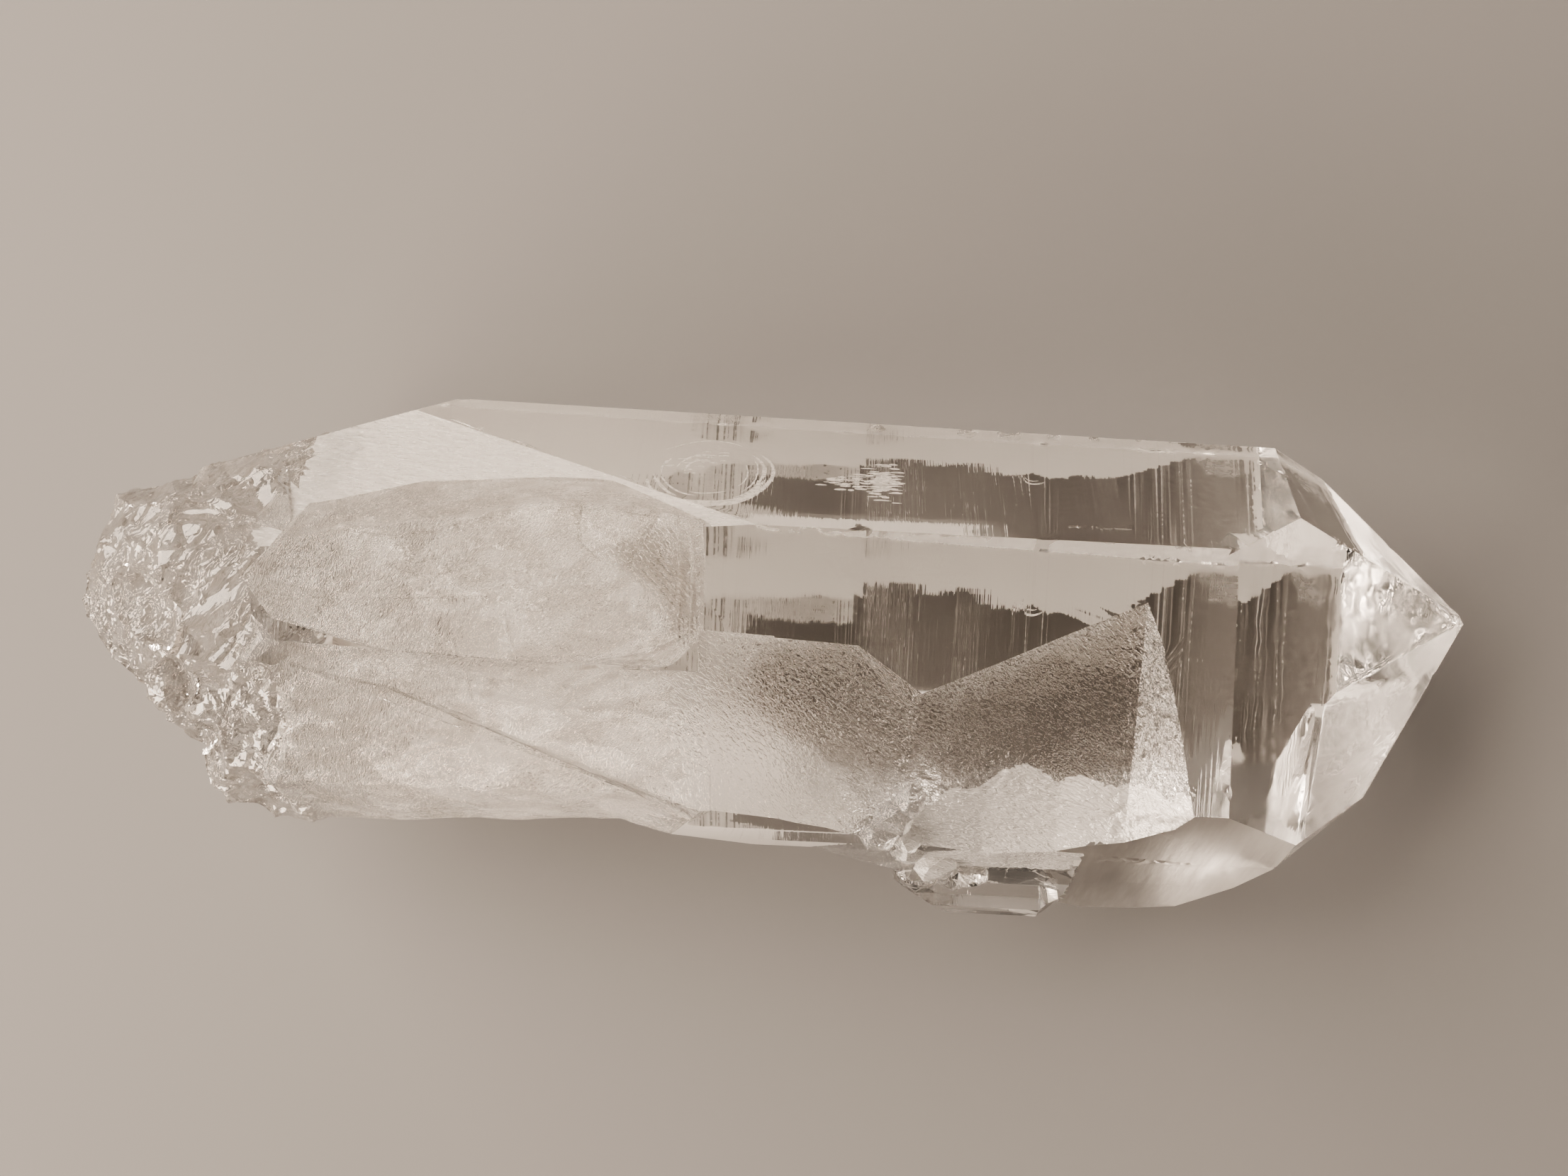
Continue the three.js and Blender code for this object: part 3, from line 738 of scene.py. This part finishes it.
# painted shade on the etched faces: low zone values darken them, blurred over BLUR
for value, outline in ETCHED_SHADE_ZONES:
    share = np.mean([inside(wander[high] + step, outline) for step in ring], axis=0)
    haze_and_shade_at[high] += share * (value - haze_and_shade_at[high])
body_mesh.attributes.new("haze_and_shade", "FLOAT", "POINT").data.foreach_set("value", haze_and_shade_at)
print("clear share of the points:", round(float((haze_and_shade_at < 0.3).mean()), 2))

# %% finishes on the mesh
middles = points[triangles].mean(1)
broken, on_contact, grown_over, on_lobe = kinds(middles)
FINISHES = [
    clear, etched, frosted, cloudy, splintered, resting, pointed, fanned, pale_etched, misted_shaded,
]
# Every triangle starts as a growth face. Later rules cover earlier ones.
finish_of = np.zeros(len(triangles), np.int32)
loose = home < 0
# chips along the far long edge, and the lumps above the rib
finish_of[loose & (middles[:, 1] > -6) & (middles[:, 0] > SLAB_END)] = FINISHES.index(frosted)
knobbly = loose & (middles[:, 2] < 24) & (abs(middles[:, 0] - 9) < 9) & (abs(middles[:, 1] + 39) < 5.5)
finish_of[knobbly] = FINISHES.index(frosted)
# contact faces, overgrowth and lobe
finish_of[loose & (on_contact > 0.5)] = FINISHES.index(etched)
finish_of[loose & (np.maximum(grown_over, on_lobe) > 0.5)] = FINISHES.index(frosted)
# steps at the overgrowth's front end, with a ragged border
ragged = middles + 0.5 * np.stack([cloud(middles, 1.5, 53), cloud(middles, 1.5, 54), 0 * middles[:, 0]], 1)
stepped = loose & (middles[:, 2] > 32) & (middles[:, 0] < -14.2) & inside(ragged, STEP_PATCH)
finish_of[stepped] = FINISHES.index(etched)
# lower part of the forward contact face, below a line that rises and falls
rise = np.interp(middles[:, 0], [8, 10, 17.8, 20.7, 28.9], [-38, -35, -31, -30, -32])
pale = middles[:, 1] + 1.2 * cloud(middles, 4, 51) + 0.9 * cloud(middles, 1.2, 52) < rise
finish_of[loose & pale & (on_contact > 0.5) & (middles[:, 0] > 8)] = FINISHES.index(pale_etched)
# the rib: its flat side face and the narrow rough strip above it
rib = loose & (middles[:, 1] < -38.5) & (middles[:, 0] > 28) & (middles[:, 2] < 27)
rib |= (home == names.index("lower_side")) & (middles[:, 0] > np.where(middles[:, 1] < -43, 28, 17))
finish_of[rib] = FINISHES.index(misted_shaded)
# the underside of the rear half, then the flat faces by name, then the root
finish_of[loose & (middles[:, 2] < 12) & (middles[:, 0] < SLAB_END)] = FINISHES.index(cloudy)
for name in ("rest", "hidden_foot"):
    finish_of[home == names.index(name)] = FINISHES.index(resting)
for name in names:
    if name.startswith("front"):
        finish_of[home == names.index(name)] = FINISHES.index(pointed)
finish_of[home == names.index("fan")] = FINISHES.index(fanned)
finish_of[broken > 0.5] = FINISHES.index(splintered)
for finish in FINISHES:
    body_mesh.materials.append(finish.material)
body_mesh.polygons.foreach_set("material_index", finish_of)
print("triangles of each finish:", np.bincount(finish_of))

# %% [markdown]
# ## Fractures inside the crystal
# A knock can open a crack inside quartz without breaking it. Air in the crack shines white, as a
# round shell with bright arcs along its rim. Such a shell lies under the upper side face, and
# smaller flakes are scattered beside it. Each arc and flake is a thin closed wisp: a section
# with four corners, carried along a path, that is widest in the middle.

# %% one wisp
side = flat_normals[names.index("upper_side")]
ALONG = np.array([1.0, 0.0, 0.0])
UPHILL = np.cross(side, ALONG)
UPHILL *= np.sign(UPHILL[1])
ROWS = 24


def wisp(path, width, lift):
    """Points of one wisp. Row t of the path gets four corners, at the half width times the root
    of sin(pi t) to both sides, and at a tenth of that above and below. The ends are single points."""
    t = np.linspace(0, 1, len(path))[1:-1, None]
    run = np.gradient(path, axis=0)[1:-1]
    run /= np.linalg.norm(run, axis=1)[:, None]
    across = np.cross(lift, run) * width * np.sqrt(np.sin(np.pi * t))
    up = lift * 0.1 * width * np.sqrt(np.sin(np.pi * t))
    rings = np.stack([path[1:-1] + across, path[1:-1] + up, path[1:-1] - across, path[1:-1] - up], 1)
    return np.concatenate([path[:1], rings.reshape(-1, 3), path[-1:]])


def wisp_faces(rows):
    """Quads between the rings, and a fan of triangles at each end. All point outwards."""
    ring = 1 + 4 * np.arange(rows - 2)[:, None] + np.arange(4)
    after = np.roll(ring, -1, 1)
    quads = np.stack([ring[:-1], after[:-1], after[1:], ring[1:]], -1).reshape(-1, 4)
    last = 4 * (rows - 2) + 1
    first_fan = [(0, b, a) for a, b in zip(ring[0], after[0])]
    last_fan = [(last, a, b) for a, b in zip(ring[-1], after[-1])]
    return quads.tolist() + first_fan + last_fan


def arc(centre, radius, start, end):
    """A part of a circle in the plane of the upper side face, from one angle to another."""
    angle = np.radians(np.linspace(start, end, ROWS))[:, None]
    wobble = 1 + 0.02 * np.sin(5 * angle + radius)
    return centre + radius * wobble * (np.cos(angle) * ALONG + np.sin(angle) * UPHILL)


print("each wisp has", len(wisp_faces(ROWS)), "faces")

# %% place the wisps
# Each arc of the shell has a radius, a first and a last angle, and a half width.
SHELL = np.array([-14.6, 0.3, 25.8]) - 2.2 * side
FLAKES = np.array([1.2, -0.6, 26.8]) - 1.6 * side
arcs = [
    (6.9, -165, 38, 0.3), (6.4, -120, -8, 0.26), (6.0, -62, 42, 0.2), (5.4, -48, 30, 0.11),
    (5.9, -172, -118, 0.2), (5.2, -165, -100, 0.13), (4.3, -40, 25, 0.09), (6.7, 60, 140, 0.07),
    (3.6, 80, 170, 0.12), (4.6, -110, -60, 0.1), (2.6, 95, 185, 0.1), (5.0, 150, 190, 0.18),
]
wisps = [(arc(SHELL, radius, a, b), width) for radius, a, b, width in arcs]
FLAKE_COUNT, SHELL_FLAKE_COUNT = 150, 26
dice = np.random.default_rng(7)
# Three flakes in four lie towards the point, and the fourth one nearer to the shell.
for k in range(FLAKE_COUNT):
    middle = FLAKES + dice.normal(0, 1.5, 1) * ALONG + dice.normal(0, 1.0, 1) * UPHILL
    if k % 4:
        middle = FLAKES + (2.9 + dice.normal(0, 0.9, 1)) * ALONG + dice.normal(0.6, 1.5, 1) * UPHILL
    wisps.append((arc(middle - 3 * UPHILL, 3, 90 - dice.uniform(6, 20), 90 + dice.uniform(4, 16)),
                  dice.uniform(0.05, 0.22)))
for _ in range(SHELL_FLAKE_COUNT):
    middle = SHELL + dice.normal(-1.2, 1.4, 1) * ALONG + dice.normal(2.2, 1.2, 1) * UPHILL
    wisps.append((arc(middle - 2 * UPHILL, 2, 90 - dice.uniform(4, 22), 90 + dice.uniform(4, 22)),
                  dice.uniform(0.04, 0.14)))
# two arcs of a small crack just above the resting face
LOW_CRACK = np.array([22.5, -13.2, -4.5])
for half_x, half_y, start, end, width in ((2.2, 2.4, 3.3, 5.4, 0.14), (1.7, 1.8, 3.6, 5.1, 0.08)):
    angle = np.linspace(start, end, ROWS)
    path = np.stack([half_x * np.cos(angle), half_y * np.sin(angle), 0 * angle], 1)
    wisps.append((LOW_CRACK + path, width))
print(len(wisps), "wisps")

# %% mesh of the wisps
# Those up in the crystal lie along the upper side face, and those of the low crack lie level.
parts, faces = [], []
for path, width in wisps:
    lift = side if path[0, 2] > 0 else np.array([0.0, 0.0, 1.0])
    faces += [[corner + sum(map(len, parts)) for corner in face] for face in wisp_faces(ROWS)]
    parts.append(wisp(path, width, lift))
inner_mesh = bpy.data.meshes.new("inner_fractures")
inner_mesh.from_pydata((np.concatenate(parts) + own_zero) * MM, [], faces)
inner_mesh.update()
inner = bpy.data.objects.new("inner_fractures", inner_mesh)
bpy.context.collection.objects.link(inner)
check = bmesh.new()
check.from_mesh(inner_mesh)
print("volume of the wisps in cubic mm:", round(check.calc_volume(signed=True) / MM**3, 2))
check.free()

# %% air in a crack
air = Finish("white_fracture", (0.98, 0.96, 0.93), 0.25, 0.3)
air_grain = air.grain((0.5, 0.5, 0.5), 0, 2)
air.relief((air_grain, 0.1))
air.plug(air.ramp(air_grain, 0.4, 0.6, 0.15, 0.45), air.shader.inputs["Roughness"])
air.describe()
inner_mesh.materials.append(air.material)
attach(inner, "root")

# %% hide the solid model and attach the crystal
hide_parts("quartz_crystal")
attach(crystal, "root")
